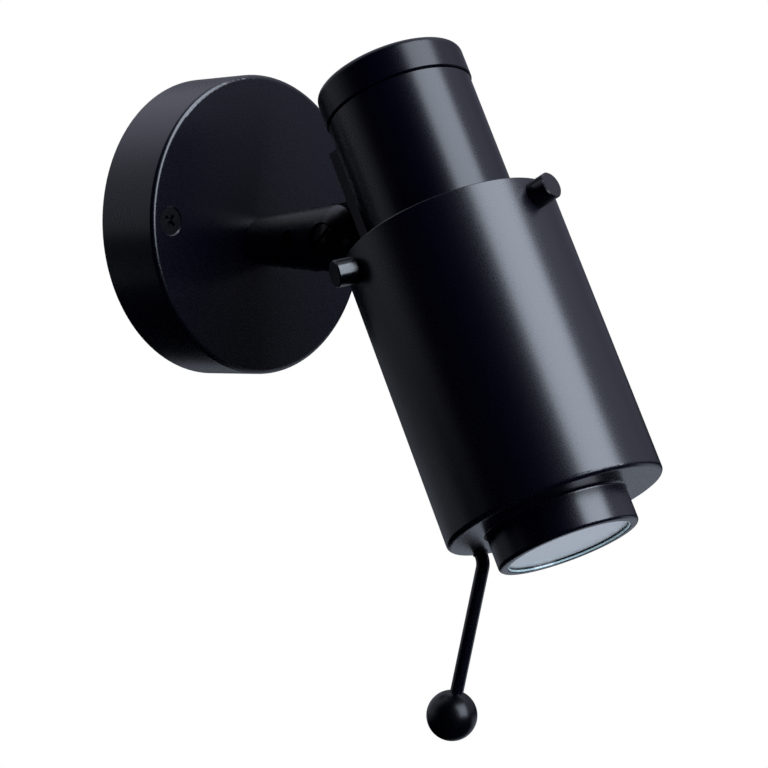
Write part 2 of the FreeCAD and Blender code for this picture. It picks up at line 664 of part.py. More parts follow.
def pivot_washers():
    washers = []
    for side in (-1, 1):
        cheek = Vector(side * SLOT_WIDTH / 2, PIVOT_Y, 0)
        inner = cheek.sub(X_AXIS * (side * PIVOT_WASHER_THICKNESS))
        hole = PIVOT_SCREW_RADIUS + RUNNING_CLEARANCE
        washers.append(arm_at_rest(ring_between(inner, cheek, PIVOT_WASHER_RADIUS, hole)))
    return Part.makeCompound(washers)


# ---- head: pivot lug, bar, tube and cap ----------------------------------------------------------
def inside_tube_seat(radius):
    """Where a flat disc of a radius rests against the inside of the inner tube's back."""
    return math.sqrt(INNER_BORE_RADIUS ** 2 - radius ** 2) - HEAD_AXIS_FROM_PIVOT


def lug_screw_heights():
    """The two lug screws, below and above the pivot."""
    return (-LUG_SCREW_OFFSET, LUG_SCREW_OFFSET)


def pivot_lug():
    half = LUG_WIDTH / 2
    eye = rod_between(Vector(-half, 0, 0), Vector(half, 0, 0), LUG_EYE_RADIUS)
    neck_points = [
        Vector(-half, 0, LUG_EYE_RADIUS), Vector(-half, LUG_FLANGE_Y, LUG_NECK_HEIGHT / 2),
        Vector(-half, LUG_FLANGE_Y, -LUG_NECK_HEIGHT / 2), Vector(-half, 0, -LUG_EYE_RADIUS),
    ]
    neck = prism(neck_points, X_AXIS * LUG_WIDTH)
    low = Vector(-LUG_FLANGE_WIDTH / 2, BAR_BACK_Y, -LUG_FLANGE_HEIGHT / 2)
    flange = block(low, Vector(LUG_FLANGE_WIDTH / 2, LUG_FLANGE_Y, LUG_FLANGE_HEIGHT / 2))
    lug = joined([eye, neck, flange])
    pivot_hole = PIVOT_SCREW_RADIUS + RUNNING_CLEARANCE
    lug = lug.cut(rod_between(Vector(-half, 0, 0), Vector(half, 0, 0), pivot_hole))
    way_start = Vector(0, BAR_BACK_Y, WIRE_WAY_OFFSET)
    lug = lug.cut(rod_between(way_start, Vector(0, LUG_EYE_RADIUS, WIRE_WAY_OFFSET), WIRE_WAY_RADIUS))
    for z in lug_screw_heights():
        start = Vector(0, BAR_BACK_Y, z)
        lug = lug.cut(rod_between(start, Vector(0, LUG_FLANGE_Y, z), LUG_SCREW_RADIUS + THREAD_CLEARANCE))
    return head_at_rest(lug)


def bar_and_tube_holes(shape):
    """Cuts the lug screws' holes and the wire bush's hole through the bar or the tube."""
    inside_y = inside_tube_seat(LUG_SCREW_RADIUS) - INNER_WALL
    for z in lug_screw_heights():
        start = Vector(0, inside_y, z)
        shape = shape.cut(rod_between(start, Vector(0, BAR_BACK_Y, z), LUG_SCREW_RADIUS + THREAD_CLEARANCE))
    start = Vector(0, inside_y, WIRE_WAY_OFFSET)
    end = Vector(0, BAR_BACK_Y, WIRE_WAY_OFFSET)
    return shape.cut(rod_between(start, end, BUSH_RADIUS + THREAD_CLEARANCE))


def mounting_bar():
    top = on_axis(BAR_TOP).z
    bottom = on_axis(BAR_BOTTOM).z
    low = Vector(-BAR_WIDTH / 2, BAR_BACK_Y - 2 * BAR_THICKNESS, bottom)
    bar = block(low, Vector(BAR_WIDTH / 2, BAR_BACK_Y, top))
    bar = bevel_edges(bar, BAR_CHAMFER, lambda edge: edge.CenterOfMass.y > BAR_BACK_Y - 1e-3)
    bar = bar.cut(rod_between(on_axis(BAR_TOP), on_axis(BAR_BOTTOM), INNER_RADIUS))
    return head_at_rest(bar_and_tube_holes(bar))


def lug_screws():
    screws = []
    for z in lug_screw_heights():
        seat = Vector(0, inside_tube_seat(LUG_SCREW_HEAD_RADIUS), z)
        length = LUG_FLANGE_Y - seat.y - FACE_GAP
        screw = pan_screw(seat, Y_AXIS, LUG_SCREW_RADIUS, length, LUG_SCREW_HEAD_RADIUS, LUG_SCREW_HEAD)
        screws.append(head_at_rest(screw))
    return Part.makeCompound(screws)


def wire_bush():
    flange_back = Vector(0, inside_tube_seat(BUSH_FLANGE_RADIUS), WIRE_WAY_OFFSET)
    end = Vector(0, BAR_BACK_Y, WIRE_WAY_OFFSET)
    front = flange_back.sub(Y_AXIS * BUSH_FLANGE)
    bush = joined([
        rod_between(flange_back, end, BUSH_RADIUS),
        rod_between(front, flange_back, BUSH_FLANGE_RADIUS),
    ])
    return head_at_rest(bush.cut(rod_between(front, end, WIRE_WAY_RADIUS)))


def inner_tube():
    tube = turned([
        (INNER_BORE_RADIUS, INNER_TOP), (INNER_RADIUS - SEAM_CHAMFER, INNER_TOP),
        (INNER_RADIUS, INNER_TOP + SEAM_CHAMFER), (INNER_RADIUS, INNER_BOTTOM),
        (INNER_BORE_RADIUS, INNER_BOTTOM),
    ])
    tube = bar_and_tube_holes(tube)
    for angle in PIN_ANGLES:
        start = around_axis(angle, INNER_BORE_RADIUS - INNER_WALL, PIN_HEIGHT)
        end = around_axis(angle, INNER_RADIUS + INNER_WALL, PIN_HEIGHT)
        tube = tube.cut(rod_between(start, end, POST_SPIGOT_RADIUS + THREAD_CLEARANCE))
    for angle in plate_screw_angles():
        start = around_axis(angle, INNER_BORE_RADIUS - INNER_WALL, plate_screw_height())
        end = around_axis(angle, INNER_RADIUS + INNER_WALL, plate_screw_height())
        tube = tube.cut(rod_between(start, end, PLATE_SCREW_RADIUS + THREAD_CLEARANCE))
    return head_at_rest(tube)


def end_cap():
    seat = INNER_TOP - SEAM_GAP
    spigot_radius = INNER_BORE_RADIUS - THREAD_CLEARANCE
    cap = turned([
        (0, CAP_TOP), (CAP_RADIUS, CAP_TOP), (CAP_RADIUS, seat - SEAM_CHAMFER),
        (CAP_RADIUS - SEAM_CHAMFER, seat), (spigot_radius, seat), (spigot_radius, CAP_SPIGOT_BOTTOM),
        (spigot_radius - CAP_WALL, CAP_SPIGOT_BOTTOM), (spigot_radius - CAP_WALL, CAP_TOP + CAP_WALL),
        (0, CAP_TOP + CAP_WALL),
    ])
    cap = round_edges(cap, CAP_ROUND, circle_at(CAP_RADIUS, Z_AXIS, on_axis(CAP_TOP).z))
    return head_at_rest(cap)


# ---- head: shade ---------------------------------------------------------------------------------
def shade():
    shell = turned([
        (SHADE_BORE_RADIUS, RIM_CHAMFER), (SHADE_BORE_RADIUS + RIM_CHAMFER, 0),
        (SHADE_RADIUS - RIM_CHAMFER, 0), (SHADE_RADIUS, RIM_CHAMFER),
        (SHADE_RADIUS, SHADE_BOTTOM), (SNOUT_RADIUS, SHADE_BOTTOM), (SNOUT_RADIUS, SNOUT_END),
        (APERTURE_RADIUS, SNOUT_END), (APERTURE_RADIUS, LENS_FRONT), (SNOUT_BORE_RADIUS, LENS_FRONT),
        (SNOUT_BORE_RADIUS, LENS_BACK), (RING_GROOVE_RADIUS, LENS_BACK),
        (RING_GROOVE_RADIUS, LENS_BACK - LENS_RING_THICKNESS),
        (SNOUT_BORE_RADIUS, LENS_BACK - LENS_RING_THICKNESS),
        (SNOUT_BORE_RADIUS, FLOOR_INSIDE), (SHADE_BORE_RADIUS, FLOOR_INSIDE),
    ])
    floor_z = on_axis(SHADE_BOTTOM).z
    shell = round_edges(shell, SHADE_ROUND, circle_at(SHADE_RADIUS, Z_AXIS, floor_z))
    shell = round_edges(shell, SNOUT_ROOT_ROUND, circle_at(SNOUT_RADIUS, Z_AXIS, floor_z))
    shell = round_edges(shell, SNOUT_ROUND, circle_at(SNOUT_RADIUS, Z_AXIS, on_axis(SNOUT_END).z))
    for angle in PIN_ANGLES:
        start = around_axis(angle, SHADE_BORE_RADIUS - SHADE_WALL, PIN_HEIGHT)
        end = around_axis(angle, SHADE_RADIUS + SHADE_WALL, PIN_HEIGHT)
        shell = shell.cut(rod_between(start, end, PIN_SCREW_RADIUS + SLIP_CLEARANCE))
    start = around_axis(ROD_ANGLE, ROD_OFFSET, FLOOR_INSIDE)
    end = around_axis(ROD_ANGLE, ROD_OFFSET, SHADE_BOTTOM)
    return head_at_rest(shell.cut(rod_between(start, end, ROD_TENON_RADIUS + THREAD_CLEARANCE)))


def shade_pins():
    pins = []
    for angle in PIN_ANGLES:
        seat = around_axis(angle, SHADE_RADIUS, PIN_HEIGHT)
        tip = around_axis(angle, SHADE_RADIUS + PIN_LENGTH, PIN_HEIGHT)
        inner = around_axis(angle, SHADE_RADIUS - PIN_SCREW_LENGTH, PIN_HEIGHT)
        outward = tip.sub(seat).normalize()
        head = rod_between(seat, tip, PIN_RADIUS)
        head = bevel_edges(head, PIN_CHAMFER, circle_at(PIN_RADIUS, outward, tip.dot(outward)))
        pins.append(head_at_rest(head.fuse(rod_between(seat, inner, PIN_SCREW_RADIUS))))
    return Part.makeCompound(pins)


def pin_posts():
    posts = []
    whole_tube = rod_between(on_axis(INNER_TOP), on_axis(INNER_BOTTOM), INNER_RADIUS)
    within_shade = rod_between(on_axis(0), on_axis(FLOOR_INSIDE), SHADE_BORE_RADIUS - THREAD_CLEARANCE)
    for angle in PIN_ANGLES:
        middle = around_axis(angle, 0, PIN_HEIGHT)
        outside = around_axis(angle, SHADE_RADIUS, PIN_HEIGHT)
        sleeve = rod_between(middle, outside, POST_RADIUS).common(within_shade).cut(whole_tube)
        rivet_top = around_axis(angle, INNER_BORE_RADIUS - POST_RIVET, PIN_HEIGHT)
        rivet_seat = around_axis(angle, INNER_BORE_RADIUS - THREAD_CLEARANCE, PIN_HEIGHT)
        spigot_end = around_axis(angle, INNER_RADIUS + INNER_WALL, PIN_HEIGHT)
        spigot = rod_between(rivet_top, spigot_end, POST_SPIGOT_RADIUS)
        bore = rod_between(rivet_top, outside, PIN_SCREW_RADIUS + THREAD_CLEARANCE)
        bore_face = INNER_BORE_RADIUS - THREAD_CLEARANCE
        inner_face = rod_between(on_axis(INNER_TOP), on_axis(INNER_BOTTOM), bore_face)
        rivet = rod_between(rivet_top, rivet_seat, POST_RIVET_RADIUS).common(inner_face)
        posts.append(head_at_rest(joined([sleeve, spigot, rivet]).cut(bore)))
    return Part.makeCompound(posts)


def lens_glass():
    return head_at_rest(turned([
        (0, LENS_BACK), (LENS_RADIUS - LENS_BEVEL, LENS_BACK), (LENS_RADIUS, LENS_BACK + LENS_BEVEL),
        (LENS_RADIUS, LENS_FRONT - LENS_BEVEL), (LENS_RADIUS - LENS_BEVEL, LENS_FRONT), (0, LENS_FRONT),
    ]))


def lens_ring():
    ring = turned([
        (LENS_RING_INNER, LENS_BACK - LENS_RING_THICKNESS),
        (LENS_RING_RADIUS, LENS_BACK - LENS_RING_THICKNESS),
        (LENS_RING_RADIUS, LENS_BACK), (LENS_RING_INNER, LENS_BACK),
    ])
    low = on_axis(LENS_BACK).add(Vector(-LENS_RING_MOUTH / 2, 0, 0))
    high = on_axis(LENS_BACK - LENS_RING_THICKNESS).add(Vector(LENS_RING_MOUTH / 2, SHADE_RADIUS, 0))
    return head_at_rest(ring.cut(block(low, high)))


# ---- head: lamp and its holder ------------------------------------------------------------------
def lamp_body():
    rim_top = LAMP_FACE - LAMP_RIM
    ledge = LAMP_FACE - LAMP_COVER_THICKNESS
    cover_radius = LAMP_RADIUS - LAMP_WALL / 2
    return head_at_rest(turned([
        (0, LAMP_NECK_TOP), (LAMP_NECK_RADIUS, LAMP_NECK_TOP), (LAMP_NECK_RADIUS, LAMP_NECK_BOTTOM),
        ((LAMP_NECK_RADIUS + LAMP_RADIUS) / 2 + LAMP_WALL, (LAMP_NECK_BOTTOM + rim_top) / 2),
        (LAMP_RADIUS, rim_top), (LAMP_RADIUS, LAMP_FACE), (cover_radius, LAMP_FACE), (cover_radius, ledge),
        (LAMP_RADIUS - LAMP_WALL, ledge), (LAMP_RADIUS - LAMP_WALL, rim_top),
        ((LAMP_NECK_RADIUS + LAMP_RADIUS) / 2, (LAMP_NECK_BOTTOM + rim_top) / 2),
        (LAMP_NECK_RADIUS - LAMP_WALL, LAMP_NECK_BOTTOM + LAMP_WALL), (0, LAMP_NECK_BOTTOM + LAMP_WALL),
    ]))


def lamp_cover():
    radius = LAMP_RADIUS - LAMP_WALL / 2 - THREAD_CLEARANCE
    return head_at_rest(rod_between(on_axis(LAMP_FACE - LAMP_COVER_THICKNESS), on_axis(LAMP_FACE), radius))


def lamp_pin_axis(side, s):
    """A point on one of the lamp's two pins."""
    return on_axis(s).add(Vector(side * LAMP_PIN_SPACING / 2, 0, 0))


def lamp_pins():
    pins = []
    for side in (-1, 1):
        base = lamp_pin_axis(side, LAMP_NECK_TOP)
        neck = lamp_pin_axis(side, LAMP_NECK_TOP - LAMP_PIN_LENGTH + LAMP_PIN_HEAD)
        tip = lamp_pin_axis(side, LAMP_NECK_TOP - LAMP_PIN_LENGTH)
        stem = rod_between(base, neck, LAMP_PIN_RADIUS)
        head = rod_between(neck, tip, LAMP_PIN_HEAD_RADIUS)
        pins.append(head_at_rest(joined([stem, head])))
    return Part.makeCompound(pins)


def holder_screw_places(s):
    """The two screws between the holder and its plate, at height s."""
    return [on_axis(s).add(Vector(0, side * HOLDER_SCREW_OFFSET, 0)) for side in (-1, 1)]


def lamp_holder():
    holder = rod_between(on_axis(HOLDER_TOP), on_axis(HOLDER_BOTTOM), HOLDER_RADIUS)
    holder = round_edges(holder, HOLDER_ROUND, circle_at(HOLDER_RADIUS, Z_AXIS, on_axis(HOLDER_BOTTOM).z))
    pin_hole = LAMP_PIN_HEAD_RADIUS + SLIP_CLEARANCE
    depth = LAMP_NECK_TOP - LAMP_PIN_LENGTH - SLIP_CLEARANCE
    for side in (-1, 1):
        start = lamp_pin_axis(side, depth)
        holder = holder.cut(rod_between(start, lamp_pin_axis(side, HOLDER_BOTTOM), pin_hole))
    for place in holder_screw_places(HOLDER_TOP):
        end = place.sub(Z_AXIS * HOLDER_SCREW_LENGTH)
        holder = holder.cut(rod_between(place, end, PLATE_SCREW_RADIUS + THREAD_CLEARANCE))
    return head_at_rest(holder)


def plate_screw_angles():
    """The plate's two screws, at the head's sides."""
    return (90.0, 270.0)


def plate_screw_height():
    """The plate's screws go through the middle of its skirt."""
    return HOLDER_TOP - PLATE_SKIRT / 2


def holder_plate():
    radius = INNER_BORE_RADIUS - THREAD_CLEARANCE
    skirt_top = HOLDER_TOP - PLATE_SKIRT
    plate = turned([
        (PLATE_HOLE_RADIUS, HOLDER_TOP), (radius, HOLDER_TOP), (radius, skirt_top),
        (radius - PLATE_THICKNESS, skirt_top), (radius - PLATE_THICKNESS, PLATE_BACK),
        (PLATE_HOLE_RADIUS, PLATE_BACK),
    ])
    for place in holder_screw_places(HOLDER_TOP):
        top = place.add(Z_AXIS * PLATE_THICKNESS)
        plate = plate.cut(rod_between(place, top, PLATE_SCREW_RADIUS + THREAD_CLEARANCE))
    for angle in plate_screw_angles():
        start = around_axis(angle, radius - 2 * PLATE_THICKNESS, plate_screw_height())
        end = around_axis(angle, INNER_RADIUS, plate_screw_height())
        plate = plate.cut(rod_between(start, end, PLATE_SCREW_RADIUS + THREAD_CLEARANCE))
    return head_at_rest(plate)


def plate_screws():
    screws = []
    for angle in plate_screw_angles():
        seat = around_axis(angle, INNER_RADIUS, plate_screw_height())
        inward = on_axis(plate_screw_height()).sub(seat)
        screw = pan_screw(
            seat, inward, PLATE_SCREW_RADIUS, PLATE_SCREW_LENGTH, PLATE_SCREW_HEAD_RADIUS, PLATE_SCREW_HEAD)
        screws.append(head_at_rest(screw))
    return Part.makeCompound(screws)


def holder_screws():
    screws = []
    for seat in holder_screw_places(PLATE_BACK):
        length = HOLDER_SCREW_LENGTH
        screw = pan_screw(
            seat, Z_AXIS * -1, PLATE_SCREW_RADIUS, length, PLATE_SCREW_HEAD_RADIUS, PLATE_SCREW_HEAD)
        screws.append(head_at_rest(screw))
    return Part.makeCompound(screws)


# ---- head: aiming rod -----------------------------------------------------------------------------
def rod_points():
    """The rod's foot, corner and end, on the middle of the rod."""
    foot = around_axis(ROD_ANGLE, ROD_OFFSET, SHADE_BOTTOM)
    corner = around_axis(ROD_ANGLE, ROD_OFFSET, ROD_CORNER)
    centre = around_axis(ROD_ANGLE, BALL_OFFSET, BALL_CENTRE)
    run = centre.sub(corner).normalize()
    end = centre.sub(run * (BALL_RADIUS - BALL_SOCKET))
    return foot, corner, end, centre


def aim_rod():
    foot, corner, end, _ = rod_points()
    into_bend = corner.sub(foot).normalize()
    out_of_bend = end.sub(corner).normalize()
    turn = into_bend.getAngle(out_of_bend)
    tangent = ROD_BEND_RADIUS * math.tan(turn / 2)
    bend_start = corner.sub(into_bend * tangent)
    bend_end = corner.add(out_of_bend * tangent)
    inward = out_of_bend.sub(into_bend).normalize()
    bend_centre = corner.add(inward * (ROD_BEND_RADIUS / math.cos(turn / 2)))
    bend_axis = into_bend.cross(out_of_bend)
    section = Part.Face(Part.Wire(Part.makeCircle(ROD_RADIUS, bend_start, into_bend)))
    return head_at_rest(joined([
        rod_between(around_axis(ROD_ANGLE, ROD_OFFSET, FLOOR_INSIDE), foot, ROD_TENON_RADIUS),
        cone_between(foot, foot.add(into_bend * ROD_FLARE), ROD_FLARE_RADIUS, ROD_RADIUS),
        rod_between(foot, bend_start, ROD_RADIUS),
        section.revolve(bend_centre, bend_axis, math.degrees(turn)),
        rod_between(bend_end, end, ROD_RADIUS),
    ]))


def aim_ball():
    _, corner, end, centre = rod_points()
    ball = Part.makeSphere(BALL_RADIUS, centre)
    outward = corner.sub(centre).normalize()
    mouth = centre.add(outward * (BALL_RADIUS * 2))
    return head_at_rest(ball.cut(rod_between(end, mouth, ROD_RADIUS + THREAD_CLEARANCE)))


PIECES = (
    wall_canopy, canopy_screws, mounting_bracket, bracket_nuts, threaded_tube, tube_washer, tube_nut,
    terminal_block, terminal_screws, block_screw, earth_screw, earth_washer,
    fork_arm, arm_lock_screw, pivot_screw, pivot_nut, pivot_washers,
    pivot_lug, lug_screws, mounting_bar, inner_tube, end_cap, wire_bush, shade, shade_pins, pin_posts,
    holder_plate, plate_screws, lamp_holder, holder_screws, lamp_body, lamp_pins, lamp_cover,
    lens_glass, lens_ring, aim_rod, aim_ball,
)

os.makedirs("parts", exist_ok=True)
for piece in PIECES:
    piece().exportStep("parts/" + piece.__name__ + ".step")
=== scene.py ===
import math

import bmesh
import bpy
from mathutils import Matrix, Vector


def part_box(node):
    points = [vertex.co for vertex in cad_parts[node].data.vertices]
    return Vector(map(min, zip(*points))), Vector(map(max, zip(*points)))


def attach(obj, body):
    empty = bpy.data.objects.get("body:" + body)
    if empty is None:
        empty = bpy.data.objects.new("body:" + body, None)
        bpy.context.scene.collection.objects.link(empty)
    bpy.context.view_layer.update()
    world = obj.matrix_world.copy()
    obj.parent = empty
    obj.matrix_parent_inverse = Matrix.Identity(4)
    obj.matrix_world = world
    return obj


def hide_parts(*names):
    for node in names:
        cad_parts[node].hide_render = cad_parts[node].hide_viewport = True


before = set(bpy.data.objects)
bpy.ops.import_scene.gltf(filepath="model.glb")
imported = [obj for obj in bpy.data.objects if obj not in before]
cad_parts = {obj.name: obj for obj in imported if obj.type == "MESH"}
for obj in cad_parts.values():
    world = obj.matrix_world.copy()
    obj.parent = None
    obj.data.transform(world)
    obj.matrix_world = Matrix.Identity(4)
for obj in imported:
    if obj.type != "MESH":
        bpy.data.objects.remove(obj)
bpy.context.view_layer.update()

# The finishes, the lens, the view and the light of a black wall spotlight whose head tilts.
# Lengths are metres and angles are degrees, unless a line says otherwise. The axes are the
# frame's own: the wall is y = 0, the object stands in front of it towards -Y, and +Z is up.

# ---- the photograph's view ------------------------------------------------------------
VIEW_AZIMUTH = -48.255           # from straight in front of the wall
VIEW_ELEVATION = 1.425
VIEW_ROLL = -0.187
VIEW_DISTANCE = 0.78856
VIEW_ANCHOR = Vector((0.0, -0.050, 0.0))
VIEW_SHIFT_RIGHT = 0.020983      # how far right of the anchor the camera aims
VIEW_SHIFT_UP = -0.053007        # and how far above it
VIEW_RANGE = (0.01, 20.0)        # the nearest and farthest that the camera sees
PHOTO_SIZE = 768.0               # pixels
PHOTO_FOCAL = 2408.3             # pixels
SENSOR_WIDTH = 36.0              # millimetres

# ---- finishes --------------------------------------------------------------------------
BLACK_PAINT = (0.0002, 0.0002, 0.0038)
BLACK_GLOSS = (0.0003, 0.0004, 0.0020)
GRAIN_RANGE = (0.3, 0.7)         # between these lies nearly all of a noise pattern

# ---- the lens --------------------------------------------------------------------------
# Its flange is the CAD disc. The front step, which the CAD leaves out, fills the opening to
# just below the lip. Heights count from the disc's front face, and radii from its middle.
LENS_FROST_HEIGHT = 0.0011
LENS_SHADE_LINE_HEIGHT = 0.0017
LENS_RIM_HEIGHT = 0.0022
LENS_STEP_RADIUS = 0.01965
LENS_FROST_RADIUS = 0.0191
LENS_SHADE_LINE_DRAFT = 0.00006        # how far the ring of painted shade leans outwards
LENS_RIM_DRAFT = 0.00014         # how far the wall has leaned outwards where its bevel starts
LENS_INNER_BEVEL = (0.0001, 0.00008)    # across and down
LENS_OUTER_BEVEL = 0.0001
LENS_ROUNDS = 192                # straight stretches in a circle
LENS_SHARP_ANGLE = 30.0          # an edge that bends more than this is drawn sharp

# ---- the floor -------------------------------------------------------------------------
FLOOR_HEIGHT = -0.30
FLOOR_SIZE = 6.0
FLOOR_GREY = (0.86, 0.86, 0.86)           # to all but the camera and reflections
FLOOR_PAINTED_SHADOW = (0.004, 0.004, 0.007)        # in reflections, in its painted shadow
FLOOR_PALE = (0.78, 0.78, 0.81)           # in reflections, elsewhere
FLOOR_SHADOW_MIDDLE = (-0.08, 0.25, FLOOR_HEIGHT)    # the middle of the painted shadow
FLOOR_SHADOW_FADE = (0.28, 0.37)        # how far from there the painted shadow turns pale
FLOOR_SHADOW_BACK = (0.0, 0.15)         # and how far behind the wall plate the painted shadow ends, as the camera sees it

# ---- the backdrop that reflections show ------------------------------------------------
# A place on it is how far a direction points away from the photograph's camera, to its left
# or up: 0 is square to that way, and 1 lies along it.
BACKDROP_TINT = (0.79, 0.81, 1.0)
BACKDROP_EDGE = (-0.40, 0.25)    # where it fades in, from the camera's side to behind
BACKDROP_LEVEL = 0.42            # its brightness level with the object
BACKDROP_RIGHT = (0.0, 0.22)     # how high it starts on the right
BACKDROP_LEFT = (-0.42, 0.12)    # and on the left, where it reaches lower
BACKDROP_TURN = (-0.10, 0.40)    # where the left's part fades in
BACKDROP_WANE = (0.35, 0.75)     # where the right's part wanes, further behind
BACKDROP_WANED = 0.5             # the share of it that is left there
BACKDROP_RISE = (0.40, 0.90)     # how high it grows brighter
BACKDROP_TOP = 0.45              # and by how much
AMBIENT_LEVEL = 0.05             # faint light from all around, outside reflections

# ---- the soft box ----------------------------------------------------------------------
SOFTBOX_TINT = (0.78, 0.86, 1.0)
SOFTBOX_AIM = Vector((0.0, -0.12, -0.04))    # the middle of the head
SOFTBOX_AZIMUTH = 5.5            # from straight in front of the wall
SOFTBOX_ELEVATION = 33.0
SOFTBOX_DISTANCE = 0.9
SOFTBOX_SIZE = (0.70, 1.36)
SOFTBOX_POWER = 16.6             # watts


# ---- node helpers ----------------------------------------------------------------------
class Graph:
    """A node tree under construction."""

    def __init__(self, tree):
        self.tree = tree
        tree.nodes.clear()

    def add(self, kind, inputs=None, **settings):
        """A new node. Each of its inputs takes a plain value or another node's output."""
        node = self.tree.nodes.new(kind)
        for name, value in settings.items():
            setattr(node, name, value)
        for name, value in (inputs or {}).items():
            if isinstance(value, bpy.types.NodeSocket):
                self.tree.links.new(value, node.inputs[name])
            else:
                node.inputs[name].default_value = value
        return node

    def ramp(self, value, start, end, low=0.0, high=1.0, curve="SMOOTHSTEP"):
        """Runs from low to high while the value runs from start to end."""
        limits = {"From Min": start, "From Max": end, "To Min": low, "To Max": high}
        node = self.add("ShaderNodeMapRange", {"Value": value, **limits}, interpolation_type=curve)
        return node.outputs["Result"]

    def blend(self, value, first, second):
        """A colour that runs from the first to the second as the value runs from 0 to 1."""
        colours = {"A": (*first, 1.0), "B": (*second, 1.0)}
        node = self.add("ShaderNodeMix", {"Factor": value, **colours}, data_type="RGBA")
        return node.outputs["Result"]

    def combine(self, operation, first, second):
        """The product, the sum or the larger of two values."""
        node = self.add("ShaderNodeMath", {0: first, 1: second}, operation=operation)
        return node.outputs["Value"]

    def measure(self, operation, place, vector):
        """The distance between a place and a fixed point, or its reach in a direction."""
        node = self.add("ShaderNodeVectorMath", {0: place, 1: vector}, operation=operation)
        return node.outputs["Value"]

    def choose(self, factor, first, second):
        """The first shader where the factor is 0, and the second where it is 1."""
        node = self.add("ShaderNodeMixShader", {"Fac": factor, 1: first, 2: second})
        return node.outputs["Shader"]


class Recipe(Graph):
    """A solid's material under construction, with a grain that varies its surface."""

    def __init__(self, name, surface=None):
        self.material = bpy.data.materials.new(name)
        self.material.use_nodes = True
        super().__init__(self.material.node_tree)
        self.shader = self.add("ShaderNodeBsdfPrincipled", surface)
        self.add("ShaderNodeOutputMaterial", {"Surface": self.shader.outputs["BSDF"]})
        self.place = self.add("ShaderNodeTexCoord").outputs["Object"]

    def drive(self, name, source):
        """Feeds one of the surface's properties from another node's output."""
        self.tree.links.new(source, self.shader.inputs[name])

    def noise(self, scale, detail, roughness, stretch=None):
        """Fractal noise over the object's own place, in cycles per metre."""
        place = self.place
        if stretch:
            mapping = self.add("ShaderNodeMapping", {"Vector": place, "Scale": stretch})
            place = mapping.outputs["Vector"]
        pattern = {"Scale": scale, "Detail": detail, "Roughness": roughness}
        return self.add("ShaderNodeTexNoise", {"Vector": place, **pattern}).outputs["Fac"]

    def colour(self, grain, dark, light):
        self.drive("Base Color", self.blend(grain, dark, light))

    def roughness(self, grain, low, high):
        self.drive("Roughness", self.ramp(grain, *GRAIN_RANGE, low, high, curve="LINEAR"))

    def bump(self, grain, depth, strength):
        relief = {"Height": grain, "Distance": depth, "Strength": strength}
        self.drive("Normal", self.add("ShaderNodeBump", relief).outputs["Normal"])


def lighter(colour, factor):
    return tuple(factor * part for part in colour)


def dress(material, *nodes):
    """Gives CAD nodes a material in place of their plain one."""
    for name in nodes:
        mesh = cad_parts[name].data
        mesh.materials.clear()
        mesh.materials.append(material)


# ---- materials -------------------------------------------------------------------------
def satin_paint(name, ior):
    """Fine satin powder coat: near black, slightly blue, with a faint grain."""
    recipe = Recipe(name, {"IOR": ior})
    grain = recipe.noise(scale=2600.0, detail=4.0, roughness=0.6)
    cloud = recipe.noise(scale=45.0, detail=2.0, roughness=0.5)
    recipe.colour(cloud, dark=BLACK_PAINT, light=lighter(BLACK_PAINT, 1.25))
    recipe.roughness(grain, low=0.24, high=0.30)
    recipe.bump(grain, depth=0.00003, strength=0.10)
    return recipe.material


def gloss_paint():
    """Smoother black on the round pins and the arm's two screws."""
    recipe = Recipe("gloss_black_paint", {"IOR": 1.7})
    grain = recipe.noise(scale=1800.0, detail=3.0, roughness=0.5)
    recipe.colour(grain, dark=BLACK_GLOSS, light=lighter(BLACK_GLOSS, 1.2))
    recipe.roughness(grain, low=0.20, high=0.27)
    recipe.bump(grain, depth=0.00002, strength=0.12)
    return recipe.material


def ball_paint():
    """Rubbed black lacquer on the ball grip: softer and dimmer than the paint."""
    recipe = Recipe("rubbed_black_lacquer", {"IOR": 1.45})
    grain = recipe.noise(scale=1500.0, detail=3.0, roughness=0.5)
    recipe.colour(grain, dark=BLACK_GLOSS, light=lighter(BLACK_GLOSS, 1.3))
    recipe.roughness(grain, low=0.27, high=0.33)
    recipe.bump(grain, depth=0.00002, strength=0.12)
    return recipe.material


def blackened_steel():
    """Oil-blackened screw steel, a little lighter than the paint around it."""
    recipe = Recipe("blackened_steel", {"Metallic": 1.0})
    grain = recipe.noise(scale=1600.0, detail=3.0, roughness=0.6)
    recipe.colour(grain, dark=(0.044, 0.045, 0.050), light=(0.070, 0.070, 0.077))
    recipe.roughness(grain, low=0.28, high=0.38)
    recipe.bump(grain, depth=0.00003, strength=0.2)
    return recipe.material


def zinc_plate():
    """Zinc-plated steel with a fine brushed grain."""
    recipe = Recipe("zinc_plated_steel", {"Metallic": 1.0})
    streak = recipe.noise(scale=700.0, detail=3.0, roughness=0.6, stretch=(1.0, 1.0, 0.12))
    recipe.colour(streak, dark=(0.50, 0.52, 0.55), light=(0.66, 0.67, 0.68))
    recipe.roughness(streak, low=0.28, high=0.42)
    recipe.bump(streak, depth=0.00003, strength=0.2)
    return recipe.material


def turned_brass():
    """Plain brass with fine turning marks."""
    recipe = Recipe("turned_brass", {"Metallic": 1.0})
    streak = recipe.noise(scale=600.0, detail=3.0, roughness=0.5, stretch=(1.0, 0.2, 1.0))
    recipe.colour(streak, dark=(0.62, 0.44, 0.18), light=(0.78, 0.60, 0.28))
    recipe.roughness(streak, low=0.22, high=0.34)
    return recipe.material


def moulded(name, dark, light, low, high):
    """Moulded plastic or glazed ceramic, slightly uneven in colour and gloss."""
    recipe = Recipe(name)
    speck = recipe.noise(scale=900.0, detail=3.0, roughness=0.5)
    recipe.colour(speck, dark, light)
    recipe.roughness(speck, low, high)
    recipe.bump(speck, depth=0.00003, strength=0.1)
    return recipe.material


